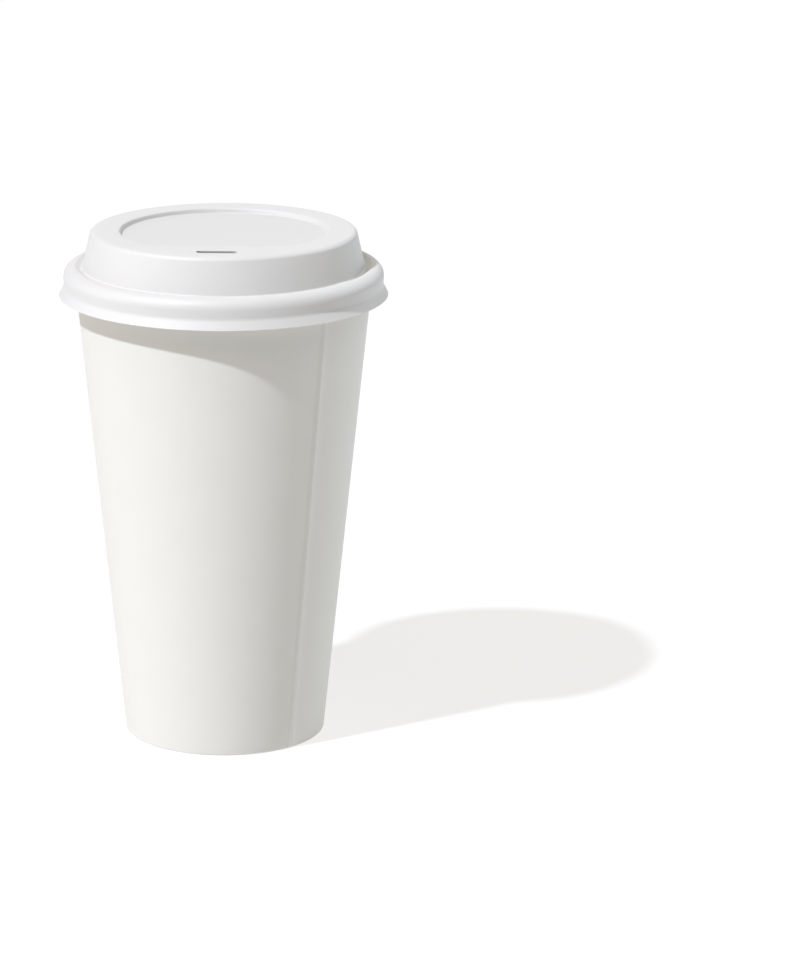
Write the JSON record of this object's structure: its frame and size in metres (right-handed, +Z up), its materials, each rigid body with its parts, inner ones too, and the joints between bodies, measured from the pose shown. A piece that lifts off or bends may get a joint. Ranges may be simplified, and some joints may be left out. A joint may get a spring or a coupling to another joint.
{
  "type": "paper hot drink cup with sip lid",
  "caption": "Tapered paperboard cup with a rolled rim and side seam, closed by a white domed plastic lid with a recess and a sip hole.",
  "frame": {"origin": "centre of the foot, on the surface that the cup stands on", "axes": "+Z up along the cup's axis, with the sip hole of the lid on the -Y side"},
  "size_m": [0.0944, 0.0944, 0.1491],
  "materials": {
    "paper_wall": "smooth uncoated outside, warm off-white",
    "paper_bottom": "smooth, warm off-white",
    "lid_plastic": "satin white formed sheet"
  },
  "bodies": {
    "cup": {"cup_wall": "paper_wall", "cup_bottom": "paper_bottom"},
    "lid": {"sip_lid": "lid_plastic"}
  },
  "joints": [
    {"name": "lid_lift", "type": "slide", "parent": "cup", "child": "lid", "axis": [0, 0, 1], "range_m": [0, 0.05]}
  ]
}
